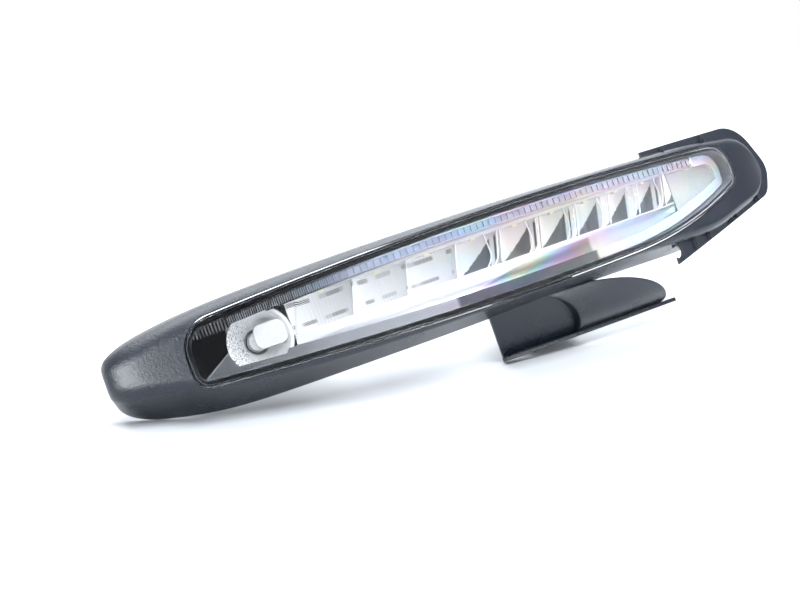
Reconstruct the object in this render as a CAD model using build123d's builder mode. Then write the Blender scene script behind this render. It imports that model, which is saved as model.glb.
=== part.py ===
"""Daytime running light for the corner of a front bumper.

Every piece is drawn in the lamp's own axes, with X along the lamp, Y back from the lens and Z up,
and is then laid down in the attitude in which the lamp rests. All sizes are in millimetres.
"""

import os
from math import cos, degrees, radians, sin, sqrt, tan

from build123d import *

# Resting attitude
lean = 25.0  # lens face tipped back from upright
rise = 11.7  # outer end lifted above the inner end

# Plan sweep of the lamp
sweep_radius = 720.0
reach = 130.0  # longest straight draw behind the lens face
tall = 140.0  # more than any piece's height

# Outer lens, seen square on
lens_inner_end = -114.6
lens_outer_end = 248.0
lens_top_inner = 24.6
lens_top_crown = 31.0
lens_top_outer = 26.4
lens_crown_at = 70.0
lens_bottom_inner = -9.0
lens_bottom = -18.8
lens_bottom_mid = -17.6
lens_bottom_mid_at = 20.0
lens_sweep_from = 150.0
lens_tip_low = 1.0
lens_inner_top_round = 17.0
lens_inner_low_round = 9.0
lens_outer_top_round = 15.0
lens_tip_round = 8.0
lens_wall = 2.5
lens_edge_bevel = 1.0
skirt_wall = 1.8
skirt_inset = 1.2  # from the lens edge to its skirt
skirt_depth = 20.0

# Fits
lens_gap = 0.6  # round the lens in the surround
channel_gap = 0.3  # either side of the lens skirt
seat_gap = 0.2  # between curved faces that seat on each other
trim_gap = 0.6  # between the trim pieces behind the lens
screw_gap = 0.2

# Surround
skin_wall = 2.2
skin_depth = 30.0
crown_drop = 0.8
# Each station: arc length, top, crease and hem heights, front depth, crown and crease rounds
skin_stations = (
    (-160.5, 17.0, 4.0, -1.0, 15.0, 5.0, 5.0),
    (-157.5, 22.0, 1.5, -7.5, 7.0, 8.0, 8.0),
    (-150.0, 25.8, -0.5, -12.8, 3.0, 11.0, 10.0),
    (-135.0, 29.4, -2.0, -17.8, 1.3, 12.0, 9.0),
    (-105.0, 32.6, -9.0, -23.2, 1.0, 10.0, 7.0),
    (-60.0, 34.2, -15.6, -25.4, 1.0, 8.0, 6.0),
    (50.0, 35.0, -19.6, -26.2, 1.0, 8.0, 6.0),
    (150.0, 34.0, -19.8, -26.4, 1.0, 8.0, 6.0),
    (195.0, 33.2, -21.5, -27.4, 1.0, 8.0, 6.0),
    (225.0, 32.4, -21.0, -27.0, 1.2, 7.0, 6.0),
    (258.0, 30.6, -15.2, -21.5, 3.0, 7.0, 6.0),
    (280.0, 26.9, -10.0, -16.0, 5.6, 7.0, 5.0),
    (290.0, 18.0, -4.6, -9.0, 7.8, 6.0, 5.0),
    (295.0, 8.5, 0.5, -2.0, 9.4, 3.5, 3.5),
)

# Flange round the surround's outer end
flange_front = 9.0
flange_wall = 2.0
flange_from = 184.0
flange_low = -34.6
bow_top = 36.2
bow_corner = 272.0
bow_tip = 290.0
bow_tip_height = 4.0
bow_low = 281.0
bow_low_height = -12.5
bow_corner_round = 28.0
bow_tip_round = 14.0
bow_low_round = 12.0
relief_radius = 3.6
rib_wall = 1.2
rib_height = 2.4
top_ribs = (202.0, 238.0)
low_ribs = (215.0, 243.0, 268.0)

# Wing below the surround
wing_wall = 2.0
wing_tilt = 1.5
wing_top_depth = 27.0
wing_top = -25.4
wing_foot_depth = 56.3
wing_foot = -50.8
wing_bury = 1.6
wing_inner_top = 56.7
wing_inner_foot = 68.2
wing_outer_top = 96.0
wing_outer_foot = 193.0
lip_depth = 51.0
lip_width = 8.5
lip_wall = 2.4
lip_start = 68.5
lip_end = 200.6
blister_bulge = 6.5
blister_top = 84.0
blister_foot = 121.6

# Rear housing
channel_wall = 1.2
channel_front = 14.5
channel_inner_front = 17.0
seal_wall = 1.6
channel_floor = 2.0
housing_wall = 2.2
housing_inset = 0.6
housing_depth = 44.4
pad_depth = 46.0

# Fixing of the housing to the surround
boss_round = 4.0
boss_rear = 24.0
nose_boss_front = 2.3
outer_boss_front = 6.6
ear_wall = 3.0
ear_width = 11.0
nose_fixings = ((-134.0, 17.0), (-134.0, 3.0))
outer_fixings = ((259.0, 16.0), (259.0, 3.0))
fixing_shank = 1.7
fixing_head = 3.8
fixing_head_height = 2.6
fixing_length = 12.0
recess_round = 1.4
recess_depth = 1.2

# Black bezel behind the lens
bezel_front = 12.0
bezel_wall = 2.0
bezel_skirt = 1.6
window_inset = 9.2

# Light guide along the top of the bezel
guide_inset = 4.6
guide_height = 3.8
guide_front = 8.0
guide_from = -88.0
guide_to = 218.0
guide_pitch = 4.0
guide_groove = 1.6
guide_groove_depth = 0.9
guide_board_wall = 1.2
guide_led_wall = 1.0

# Row of reflector cells, each narrower than the one before
cell_from = -57.5
cell_pitch = 34.7
cell_ratio = 0.95
cell_count = 9
cell_fin = 1.4
cell_rake = 16.7
cell_top = 19.5
cell_floor = 1.0
cell_depth = 17.0
cell_wall = 1.6
apron_low = -13.0
apron_hollow = 1.6

# Bowl and scoop at the two ends of the row
bowl_run = -76.0
bowl_height = 5.0
bowl_round = 16.5
bowl_depth = 14.5
bowl_neck = 7.0
bowl_wall = 1.6
bowl_steps = 3
scoop_round = 24.0
scoop_lead = 8.0
scoop_floor = -6.0

# Light sources and their cooling
board_wall = 1.6
board_margin = 1.6
led_size = 3.0
led_height = 1.0
led_depth = 8.0
sink_wall = 1.6
web_wall = 2.0
fin_wall = 1.4
fin_depth = 5.4
fin_pitch = 15.0
board_screw_shank = 1.0
board_screw_head = 2.4
board_screw_head_height = 1.4
bulb_round = 5.0
bulb_tip_depth = 18.0
bulb_neck_depth = 31.0
bulb_foot_depth = 40.0
bulb_base_round = 5.6
holder_front = 34.0
holder_round = 9.0
holder_flange = 13.0
holder_flange_wall = 2.4
holder_seal_wall = 1.6
holder_grip = 8.0

# Driver module on a shelf behind the housing
shelf_height = -14.0
shelf_wall = 2.4
driver_from = 95.0
driver_to = 145.0
driver_front = 57.0
driver_rear = 82.0
driver_drop = 29.0
driver_wall = 2.0
driver_lid_wall = 2.4
driver_margin = 8.0
driver_boss = 3.5
driver_boss_height = 8.0

# Electrical inlet, breather and fixing points on the back
socket_run = 20.0
socket_height = 4.0
socket_width = 22.0
socket_tall = 12.0
socket_wall = 1.6
socket_flange = 3.0
socket_flange_wall = 2.0
socket_length = 14.0
pin_count = 4
pin_size = 1.2
pin_pitch = 4.0
vent_run = -15.0
vent_height = 8.0
vent_round = 7.0
vent_stem = 3.0
vent_wall = 4.0
mount_run_inner = -42.0
mount_run_outer = 178.0
mount_height = 6.0
mount_plane = 76.0
mount_boss = 8.0
insert_round = 4.4
insert_bore = 2.5
insert_flange = 6.0
insert_flange_wall = 1.0
insert_length = 8.0

rest_turn = Rot(0, -rise, 0) * Rot(-lean, 0, 0)
sweep_axis = Axis((0, sweep_radius, 0), (0, 0, 1))


def station(run):
    """The plane square to the sweep at an arc length; its x runs back from the lens and its y up."""
    turn = run / sweep_radius
    origin = (sweep_radius * sin(turn), sweep_radius - sweep_radius * cos(turn), 0)
    return Plane(origin=origin, x_dir=(-sin(turn), cos(turn), 0), z_dir=(cos(turn), sin(turn), 0))


def across(run, depth=0.0):
    """The X of a point at an arc length and a depth."""
    return (sweep_radius - depth) * sin(run / sweep_radius)


def behind(x, depth=0.0):
    """The Y of a point at an X and a depth."""
    return sweep_radius - sqrt((sweep_radius - depth) ** 2 - x * x)


def plug(outline, front, rear):
    """A prism along Y of a front-view outline, cut off at two depths behind the lens face."""
    with BuildPart() as prism:
        with BuildSketch(Plane.XZ):
            add(outline)
        extrude(amount=-reach)
        with BuildSketch(Plane.XY.offset(-tall / 2)):
            with Locations((0, sweep_radius)):
                Circle(sweep_radius - front)
                Circle(sweep_radius - rear, mode=Mode.SUBTRACT)
        extrude(amount=tall, mode=Mode.INTERSECT)
    return prism.part


def grown(outline, amount):
    """An outline moved out, or in, by the same amount all round."""
    with BuildSketch() as shape:
        add(outline)
        offset(amount=amount)
    return shape.sketch


def prism(outline):
    """An outline seen square on, drawn straight back."""
    with BuildPart() as solid:
        with BuildSketch(Plane.XZ):
            add(outline)
        extrude(amount=-reach)
    return solid.part


def band(run_from, run_to, front, rear, low, high):
    """A stretch of a rectangular section along the sweep."""
    with BuildPart() as stretch:
        with BuildSketch(station(run_from)):
            with Locations((front, low)):
                Rectangle(rear - front, high - low, align=(Align.MIN, Align.MIN))
        revolve(axis=sweep_axis, revolution_arc=degrees((run_to - run_from) / sweep_radius))
    return stretch.part


def facing_back(run, depth, height):
    """A plane square to the sweep that looks back from the lens, with up as its y."""
    turn = run / sweep_radius
    deep = sweep_radius - depth
    origin = (deep * sin(turn), sweep_radius - deep * cos(turn), height)
    return Plane(origin=origin, x_dir=(-cos(turn), -sin(turn), 0), z_dir=(-sin(turn), cos(turn), 0))


def facing_up(run, depth, height):
    """A level plane at a point of the sweep, with its x along the lamp and its y back."""
    turn = run / sweep_radius
    deep = sweep_radius - depth
    origin = (deep * sin(turn), sweep_radius - deep * cos(turn), height)
    return Plane(origin=origin, x_dir=(cos(turn), sin(turn), 0), z_dir=(0, 0, 1))


def drawn_back(y):
    """The front-view plane moved back, so that extruding runs forward from it."""
    return Plane.XZ.offset(-y)


with BuildSketch() as lens_shape:
    with BuildLine():
        ThreePointArc(
            (lens_inner_end, lens_top_inner),
            (lens_crown_at, lens_top_crown),
            (lens_outer_end, lens_top_outer),
        )
        Line((lens_outer_end, lens_top_outer), (lens_outer_end, lens_tip_low))
        Line((lens_inner_end, lens_top_inner), (lens_inner_end, lens_bottom_inner))
        belly = ThreePointArc(
            (lens_inner_end, lens_bottom_inner),
            (lens_bottom_mid_at, lens_bottom_mid),
            (lens_sweep_from, lens_bottom),
        )
        TangentArc(belly @ 1, (lens_outer_end, lens_tip_low), tangent=belly % 1)
    make_face()
    fillet(lens_shape.vertices().group_by(Axis.X)[0].sort_by(Axis.Y)[0], lens_inner_low_round)
    fillet(lens_shape.vertices().group_by(Axis.X)[0].sort_by(Axis.Y)[-1], lens_inner_top_round)
    fillet(lens_shape.vertices().group_by(Axis.X)[-1].sort_by(Axis.Y)[0], lens_tip_round)
    fillet(lens_shape.vertices().group_by(Axis.X)[-1].sort_by(Axis.Y)[-1], lens_outer_top_round)
lens_outline = lens_shape.sketch

# Outer lens: a curved pane with a skirt set in from its edge
skirt_outline = grown(lens_outline, -skirt_inset)
skirt_inner = grown(skirt_outline, -skirt_wall)
with BuildPart() as outer_lens:
    add(plug(lens_outline, 0, lens_wall))
    lens_face = outer_lens.faces().filter_by(GeomType.CYLINDER).sort_by(SortBy.AREA)[-1]
    chamfer(lens_face.edges(), lens_edge_bevel)
    add(plug(skirt_outline, lens_wall, skirt_depth))
    add(plug(skirt_inner, lens_wall, skirt_depth + lens_wall), mode=Mode.SUBTRACT)


def skin_section(run, top, crease, hem, front, crown_round, crease_round, inset):
    """One section of the surround, set in from its outer face by a wall's thickness."""
    fall = (hem - crease) / (skin_depth - front)  # slope of the lower face
    low = crease + inset * (fall + sqrt(1 + fall * fall))
    back = skin_depth + flange_wall + inset
    with BuildSketch(station(run)) as section:
        with BuildLine():
            FilletPolyline(
                (back, top - crown_drop - inset),
                (front + inset, top - inset),
                (front + inset, low),
                (back, low + fall * (back - front - inset)),
                radius=(0, crown_round - inset, crease_round - inset, 0),
                close=True,
            )
        make_face()
    return section.sketch


outer_sections = [skin_section(*row, 0.0) for row in skin_stations]
inner_sections = [skin_section(*row, skin_wall) for row in skin_stations[1:-1]]

with BuildSketch() as bow_shape:
    with BuildLine():
        FilletPolyline(
            (flange_from, bow_top),
            (bow_corner, bow_top),
            (bow_tip, bow_tip_height),
            (bow_low, bow_low_height),
            (flange_from, flange_low),
            radius=(0, bow_corner_round, bow_tip_round, bow_low_round, 0),
            close=True,
        )
    make_face()
    with Locations((flange_from + relief_radius / 2, flange_low + 2 * relief_radius)):
        Circle(relief_radius, mode=Mode.SUBTRACT)
bow_outline = bow_shape.sketch

# Wing with its blister and lip, drawn on a plane that contains the tilted axis it is turned about
wing_lift = lip_start * tan(radians(wing_tilt))
wing_up = (sin(radians(wing_tilt)), 0, cos(radians(wing_tilt)))
wing_axis = Axis((0, sweep_radius, wing_lift), wing_up)
wing_plane = Plane((0, 0, wing_lift), x_dir=(0, 1, 0), z_dir=(wing_up[2], 0, -wing_up[0]))
wing_arc = degrees(2 * lip_end / sweep_radius)
wing_run = Vector(wing_foot_depth - wing_top_depth, wing_foot - wing_top).normalized()
wing_out = Vector(wing_run.Y, -wing_run.X)
wing_head = Vector(wing_top_depth, wing_top) - wing_run * wing_bury
wing_knee = Vector(wing_foot_depth, wing_foot)
wing_thick = wing_wall / -wing_run.Y  # through the wing along its depth
wing_sole = wing_foot - lip_wall / 2
hollow_head = wing_head + Vector(wing_thick, -2 * wing_bury)
hollow_knee = wing_knee + Vector(wing_thick, 0)


def wing_side(top_x, foot_x):
    """The wing as far as a rounded side, seen square on: level at the surround and upright at the lip."""
    low = wing_foot - 4 * lip_wall
    high = wing_top + wing_bury
    with BuildSketch() as side:
        with BuildLine():
            curve = EllipticalCenterArc((top_x, low), foot_x - top_x, high - low, arc_size=90)
            Polyline(curve @ 1, (0, high), (0, low), curve @ 0)
        make_face()
    return side.sketch


def wing_turn(face):
    """A section on the wing's plane, turned along the lamp."""
    with BuildPart() as solid:
        add(face)
        revolve(axis=wing_axis, revolution_arc=wing_arc)
    return solid.part


def bulge_section(head, knee, thick):
    """The section from a face that bulges out between two points to a line behind it."""
    with BuildSketch(wing_plane) as section:
        with BuildLine():
            ThreePointArc(head, (head + knee) * 0.5 + wing_out * blister_bulge, knee)
            Polyline(
                knee,
                (knee.X, wing_sole),
                (knee.X + thick, wing_sole),
                (head.X + thick, head.Y),
                head,
            )
        make_face()
    return section.sketch


with BuildSketch() as blister_shape:
    add(wing_side(wing_outer_top, wing_outer_foot))
    add(wing_side(blister_top, blister_foot), mode=Mode.SUBTRACT)
with BuildSketch() as hollow_shape:
    add(wing_side(wing_outer_top - wing_wall, wing_outer_foot - wing_wall))
    add(wing_side(blister_top + wing_wall, blister_foot + wing_wall), mode=Mode.SUBTRACT)

with BuildPart() as wing:
    with BuildSketch(wing_plane):
        with BuildLine():
            Polyline(
                wing_head,
                wing_knee,
                (wing_knee.X, wing_sole),
                (wing_knee.X + wing_thick, wing_sole),
                (wing_head.X + wing_thick, wing_head.Y),
                close=True,
            )
        make_face()
    revolve(axis=wing_axis, revolution_arc=wing_arc)
    add(prism(wing_side(wing_outer_top, wing_outer_foot)), mode=Mode.INTERSECT)
    with BuildSketch(Plane.XZ):
        with BuildLine():
            Polyline(
                (0, 0),
                (wing_inner_top, 0),
                (wing_inner_top, wing_top),
                (wing_inner_foot, wing_foot),
                (wing_inner_foot, -tall),
                (0, -tall),
                close=True,
            )
        make_face()
    extrude(amount=-reach, mode=Mode.SUBTRACT)

with BuildPart() as blister:
    add(wing_turn(bulge_section(wing_head, wing_knee, wing_thick)))
    add(prism(blister_shape.sketch), mode=Mode.INTERSECT)
with BuildPart() as blister_hollow:
    add(wing_turn(bulge_section(hollow_head, hollow_knee, 4 * wing_thick)))
    add(prism(hollow_shape.sketch), mode=Mode.INTERSECT)

with BuildPart() as lip:
    with BuildSketch(wing_plane):
        with Locations((lip_depth, wing_foot - lip_wall)):
            Rectangle(lip_width, lip_wall, align=(Align.MIN, Align.MIN))
    revolve(axis=wing_axis, revolution_arc=wing_arc)
    with BuildSketch(Plane.XZ):
        with Locations((lip_start, 0)):
            Rectangle(lip_end - lip_start, tall, align=(Align.MIN, Align.CENTER))
    extrude(amount=-reach, mode=Mode.INTERSECT)

nose_ear_y = behind(nose_fixings[0][0], boss_rear)
outer_ear_y = behind(outer_fixings[0][0], boss_rear)
fixings = [(x, z, nose_ear_y, behind(x, nose_boss_front)) for x, z in nose_fixings]
fixings += [(x, z, outer_ear_y, behind(x, outer_boss_front)) for x, z in outer_fixings]

with BuildSketch() as rib_shape:
    with Locations(*[(x, bow_top - rib_wall / 2) for x in top_ribs]):
        Rectangle(rib_wall, tall, align=(Align.CENTER, Align.MAX))
    with Locations(*[(x, 0) for x in low_ribs]):
        Rectangle(rib_wall, tall, align=(Align.CENTER, Align.MAX))
    add(grown(bow_outline, -rib_wall / 2), mode=Mode.INTERSECT)

# Surround
with BuildPart() as surround:
    loft(outer_sections)
    with BuildSketch(Plane.XY.offset(-tall / 2)):
        with Locations((0, sweep_radius)):
            Circle(sweep_radius - skin_depth)
    extrude(amount=tall, mode=Mode.SUBTRACT)
    add(plug(bow_outline, flange_front, flange_front + flange_wall))
    add(plug(rib_shape.sketch, flange_front - rib_height, flange_front + flange_wall / 2))
    add(wing.part)
    add(blister.part)
    add(blister_hollow.part, mode=Mode.SUBTRACT)
    add(lip.part)
    loft(inner_sections, mode=Mode.SUBTRACT)
    for x, z, ear_y, boss_y in fixings:
        with BuildSketch(drawn_back(ear_y)):
            with Locations((x, z)):
                Circle(boss_round)
        extrude(amount=ear_y - boss_y)
    for x, z, ear_y, boss_y in fixings:
        with BuildSketch(drawn_back(ear_y)):
            with Locations((x, z)):
                Circle(fixing_shank + screw_gap)
        extrude(amount=fixing_length - ear_wall + screw_gap, mode=Mode.SUBTRACT)
    add(plug(grown(lens_outline, lens_gap), 0, skin_depth + lens_wall), mode=Mode.SUBTRACT)

# Depths that follow from one another, from the lens skirt back
channel_rear = skirt_depth + 2 * seat_gap + seal_wall
floor_rear = channel_rear + channel_floor
housing_inner = housing_depth - housing_wall
bezel_rear = bezel_front + bezel_wall
row_front = bezel_rear + seat_gap
row_rear = row_front + cell_depth + cell_wall
web_front = row_rear + trim_gap
web_rear = web_front + web_wall
board_top = cell_top + board_wall
sink_top = board_top + sink_wall

# Outlines set in from the lens skirt
channel_inner = grown(skirt_inner, -channel_gap)
channel_open = grown(skirt_inner, -channel_gap - channel_wall)
bezel_outline = grown(skirt_inner, -trim_gap)
trim_outline = grown(bezel_outline, -bezel_skirt - seat_gap)

# Bead that seals the lens skirt in the housing's channel
with BuildPart() as lens_seal:
    add(plug(skirt_outline, skirt_depth + seat_gap, channel_rear - seat_gap))
    add(plug(skirt_inner, skirt_depth, channel_rear), mode=Mode.SUBTRACT)

bowl_axis_plane = facing_back(bowl_run, 0, bowl_height)
bowl_axis = Axis(bowl_axis_plane.origin, bowl_axis_plane.z_dir)
bowl_x = across(bowl_run)
mounts = [(across(run), mount_height) for run in (mount_run_inner, mount_run_outer)]
socket_outer = (socket_width + 2 * socket_wall, socket_tall + 2 * socket_wall)
socket_base = (socket_outer[0] + 2 * socket_flange, socket_outer[1])

# Rear housing with its sealing channel, ears, bosses, pads and driver shelf
with BuildPart() as rear_housing:
    add(plug(grown(skirt_outline, channel_gap + channel_wall), channel_front, floor_rear))
    add(plug(grown(skirt_outline, channel_gap), 0, channel_rear), mode=Mode.SUBTRACT)
    add(plug(channel_inner, channel_inner_front, floor_rear))
    add(plug(grown(lens_outline, -housing_inset), channel_rear, housing_depth))
    ear_spans = (
        (nose_fixings, nose_ear_y, Align.MIN, -ear_width / 2),
        (outer_fixings, outer_ear_y, Align.MAX, ear_width / 2),
    )
    for points, ear_y, side, margin in ear_spans:
        heights = [z for x, z in points]
        ear_height = max(heights) - min(heights) + ear_width
        with BuildSketch(drawn_back(ear_y + ear_wall)):
            with Locations((points[0][0] + margin, min(heights) - ear_width / 2)):
                Rectangle(3.5 * ear_width, ear_height, align=(side, Align.MIN))
            fillet(vertices(), ear_width / 4)
        extrude(amount=ear_wall)
    for x, z in mounts:
        with BuildSketch(drawn_back(mount_plane)):
            with Locations((x, z)):
                Circle(mount_boss)
        extrude(amount=mount_plane - behind(x, housing_inner - housing_wall))
    with BuildSketch(facing_back(bowl_run, pad_depth, bowl_height)):
        Circle(holder_flange)
    extrude(amount=-(pad_depth - housing_inner))
    with BuildSketch(facing_back(socket_run, pad_depth, socket_height)):
        Rectangle(*socket_base)
    extrude(amount=-(pad_depth - housing_inner))
    with BuildSketch(facing_back(vent_run, pad_depth, vent_height)):
        Circle(vent_round)
    extrude(amount=-(pad_depth - housing_inner))
    shelf_span = (driver_from - driver_wall, driver_to + driver_wall)
    add(band(*shelf_span, housing_inner, driver_rear, shelf_height, shelf_height + shelf_wall))
    add(plug(channel_open, 0, floor_rear), mode=Mode.SUBTRACT)
    add(
        plug(grown(lens_outline, -housing_inset - housing_wall), floor_rear, housing_inner),
        mode=Mode.SUBTRACT,
    )
    for x, z, ear_y, boss_y in fixings:
        with BuildSketch(drawn_back(ear_y + ear_wall)):
            with Locations((x, z)):
                Circle(fixing_shank + 2 * screw_gap)
        extrude(amount=ear_wall, mode=Mode.SUBTRACT)
    for x, z in mounts:
        with BuildSketch(drawn_back(mount_plane)):
            with Locations((x, z)):
                Circle(insert_round + screw_gap)
        extrude(amount=insert_length + screw_gap, mode=Mode.SUBTRACT)
    with BuildSketch(facing_back(bowl_run, pad_depth, bowl_height)):
        Circle(holder_round + screw_gap)
    extrude(amount=-2 * (pad_depth - housing_inner), mode=Mode.SUBTRACT)
    with BuildSketch(facing_back(socket_run, pad_depth, socket_height)):
        Rectangle(socket_width - socket_wall, socket_tall - socket_wall)
    extrude(amount=-2 * (pad_depth - housing_inner), mode=Mode.SUBTRACT)
    with BuildSketch(facing_back(vent_run, pad_depth, vent_height)):
        Circle(vent_stem + screw_gap)
    extrude(amount=-2 * (pad_depth - housing_inner), mode=Mode.SUBTRACT)
    driver_mid = (driver_front + driver_rear) / 2
    driver_runs = (driver_from + driver_margin, driver_to - driver_margin)
    for run in driver_runs:
        with BuildSketch(facing_up(run, driver_mid, shelf_height)):
            Circle(fixing_shank + 2 * screw_gap)
        extrude(amount=shelf_wall, mode=Mode.SUBTRACT)

# Screws from the housing's ears into the surround's bosses
with BuildPart() as housing_screws:
    for x, z, ear_y, boss_y in fixings:
        with BuildSketch(drawn_back(ear_y + ear_wall)):
            with Locations((x, z)):
                Circle(fixing_shank)
        extrude(amount=fixing_length)
        with BuildSketch(drawn_back(ear_y + ear_wall + fixing_head_height)):
            with Locations((x, z)):
                Circle(fixing_head)
        extrude(amount=fixing_head_height)
        with BuildSketch(drawn_back(ear_y + ear_wall + fixing_head_height)):
            with Locations((x, z)):
                RegularPolygon(recess_round, 6)
        extrude(amount=recess_depth, mode=Mode.SUBTRACT)

# Opening of the bezel: the reflectors' row, with the round of the bowl at its inner end
with BuildSketch() as window_shape:
    add(grown(lens_outline, -window_inset))
    with Locations((bowl_x, 0)):
        Rectangle(tall, tall, align=(Align.MAX, Align.CENTER), mode=Mode.SUBTRACT)
    with Locations((bowl_x, bowl_height)):
        Circle(bowl_round)
    add(grown(bezel_outline, -2 * bezel_skirt), mode=Mode.INTERSECT)
window = window_shape.sketch

with BuildPart() as inner_bezel:
    add(plug(bezel_outline, bezel_front, channel_inner_front - seat_gap))
    bezel_inner = grown(bezel_outline, -bezel_skirt)
    add(plug(bezel_inner, bezel_rear, channel_inner_front), mode=Mode.SUBTRACT)
    add(plug(window, 0, channel_inner_front), mode=Mode.SUBTRACT)


def top_strip(x_from, x_to, margin):
    """The stretch of the light guide's track between two places along the lamp."""
    with BuildSketch() as strip:
        add(grown(lens_outline, margin - guide_inset))
        add(grown(lens_outline, -guide_inset - guide_height - margin), mode=Mode.SUBTRACT)
        with Locations((x_from, bowl_height)):
            Rectangle(x_to - x_from, tall, align=(Align.MIN, Align.MIN), mode=Mode.INTERSECT)
    return strip.sketch


guide_rear = bezel_front - seat_gap
groove_count = int((guide_to - guide_from) / guide_pitch)
with BuildSketch() as groove_shape:
    with Locations(((guide_from + guide_to) / 2, 0)):
        with GridLocations(guide_pitch, 1, groove_count, 1):
            Rectangle(guide_groove, tall)

with BuildPart() as light_guide:
    add(plug(top_strip(guide_from, guide_to, 0), guide_front, guide_rear))
    add(plug(groove_shape.sketch, 0, guide_front + guide_groove_depth), mode=Mode.SUBTRACT)

led_from = guide_to + seat_gap
board_from = led_from + guide_led_wall
with BuildPart() as guide_led:
    add(plug(top_strip(led_from, board_from, -guide_groove_depth), guide_front, guide_rear - seat_gap))
with BuildPart() as guide_led_board:
    board_track = top_strip(board_from, board_from + guide_board_wall, guide_groove_depth)
    add(plug(board_track, guide_front, guide_rear))

# Runs at which the cells meet, each cell narrower than the one before by the same ratio
cell_edges = [
    cell_from + cell_pitch * (1 - cell_ratio**i) / (1 - cell_ratio) for i in range(cell_count + 1)
]
rake_slope = tan(radians(cell_rake))
rake_shift = (cell_top - cell_floor) * rake_slope
cell_to = cell_edges[-1] + rake_shift + cell_wall
row_span = degrees((cell_to - cell_from) / sweep_radius)
screw_runs = [edge + rake_shift for edge in cell_edges[1:-1:2]]
screw_depth = row_front + 0.8 * cell_depth

# Row of raked cells with the hollow apron below them
with BuildPart() as cell_reflector:
    with BuildSketch(station(cell_from)):
        with BuildLine():
            apron_rear = row_front + apron_hollow + cell_wall
            Polyline(
                (row_front, cell_floor),
                (row_front, cell_top),
                (row_rear, cell_top),
                (row_rear, cell_floor - cell_wall),
                (apron_rear, cell_floor - cell_wall),
                (apron_rear, apron_low),
                (row_front, apron_low),
            )
            ThreePointArc(
                (row_front, apron_low),
                (row_front + apron_hollow, (apron_low + cell_floor) / 2),
                (row_front, cell_floor),
            )
        make_face()
    revolve(axis=sweep_axis, revolution_arc=row_span)
    add(plug(trim_outline, 0, row_rear + cell_wall), mode=Mode.INTERSECT)
    for near, far in zip(cell_edges, cell_edges[1:]):
        floor_plane = facing_up((near + far) / 2, row_front, cell_floor)
        half = (far - near - cell_fin) / 2
        with BuildSketch(floor_plane):
            with BuildLine():
                Polyline((half, 0), (half, -cell_wall), (-half, -cell_wall), (-half, 0))
                ThreePointArc((-half, 0), (0, cell_depth), (half, 0))
            make_face()
        along = floor_plane.x_dir * rake_slope + floor_plane.z_dir
        extrude(amount=(cell_top - cell_floor + cell_wall) * along.length, dir=along, mode=Mode.SUBTRACT)
    for run in screw_runs:
        with BuildSketch(facing_up(run, screw_depth, cell_top)):
            Circle(board_screw_shank + screw_gap)
        extrude(amount=-cell_depth / 2, mode=Mode.SUBTRACT)

# Scoop at the outer end of the row
scoop_from = across(cell_to + trim_gap, row_front)
scoop_x = (scoop_from + lens_outer_end) / 2
with BuildSketch() as scoop_shape:
    add(trim_outline)
    with Locations((scoop_from, cell_top)):
        Rectangle(tall, tall, align=(Align.MIN, Align.MAX), mode=Mode.INTERSECT)
with BuildPart() as end_reflector:
    add(plug(scoop_shape.sketch, row_front, row_rear))
    with BuildSketch(Plane.XY.offset(scoop_floor)):
        with Locations((scoop_x, behind(scoop_x, row_front - scoop_lead))):
            Circle(scoop_round)
    extrude(amount=tall, mode=Mode.SUBTRACT)

# Bowl at the inner end of the row


def bowl_point(radius, wall):
    """A point of the bowl's parabola on its own section plane."""
    share = (radius**2 - bowl_neck**2) / (bowl_round**2 - bowl_neck**2)
    return (row_front + bowl_depth * (1 - share) + wall, bowl_height + radius + wall)


bowl_radii = [bowl_neck + (bowl_round - bowl_neck) * i / bowl_steps for i in range(bowl_steps + 1)]
with BuildPart() as bowl_reflector:
    with BuildSketch(station(bowl_run)):
        with BuildLine():
            inner = [bowl_point(radius, 0) for radius in bowl_radii]
            outer = [bowl_point(radius, bowl_wall) for radius in bowl_radii]
            rim = (row_front, bowl_height + bowl_round + bowl_wall)
            Polyline(*inner, rim, *reversed(outer), close=True)
        make_face()
    revolve(axis=bowl_axis)
    add(plug(trim_outline, row_front, housing_inner), mode=Mode.INTERSECT)

board_span = (cell_from + board_margin, scoop_x)
board_front = row_front + board_margin

# Board that roofs the cells, with a light source hung over each of them
with BuildPart() as led_board:
    add(band(*board_span, board_front, row_rear - board_margin, cell_top, board_top))
    for run in screw_runs:
        with BuildSketch(facing_up(run, screw_depth, cell_top)):
            Circle(board_screw_shank + screw_gap)
        extrude(amount=board_wall, mode=Mode.SUBTRACT)

led_runs = [(near + far) / 2 + rake_shift for near, far in zip(cell_edges, cell_edges[1:])]
with BuildPart() as cell_leds:
    for run in led_runs:
        with BuildSketch(facing_up(run, row_front + led_depth, cell_top)):
            Rectangle(led_size, led_size)
        extrude(amount=-led_height)

# Heat sink: a plate on the board and a finned web behind the cells
with BuildPart() as heat_sink:
    add(band(*board_span, board_front, web_rear, board_top, sink_top))
    add(band(*board_span, web_front, web_rear, cell_floor, board_top))
    fin_count = int((board_span[1] - board_span[0]) / fin_pitch)
    for i in range(fin_count):
        with BuildSketch(station(board_span[0] + (i + 0.5) * fin_pitch)):
            with Locations((web_front, cell_floor)):
                Rectangle(web_wall + fin_depth, sink_top - cell_floor, align=(Align.MIN, Align.MIN))
        extrude(amount=fin_wall / 2, both=True)
    for run in screw_runs:
        with BuildSketch(facing_up(run, screw_depth, board_top)):
            Circle(board_screw_shank + screw_gap)
        extrude(amount=sink_wall, mode=Mode.SUBTRACT)

with BuildPart() as board_screws:
    for run in screw_runs:
        with BuildSketch(facing_up(run, screw_depth, sink_top)):
            Circle(board_screw_shank)
        extrude(amount=-(sink_top - cell_top + cell_depth / 3))
        with BuildSketch(facing_up(run, screw_depth, sink_top)):
            Circle(board_screw_head)
        extrude(amount=board_screw_head_height)

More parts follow.
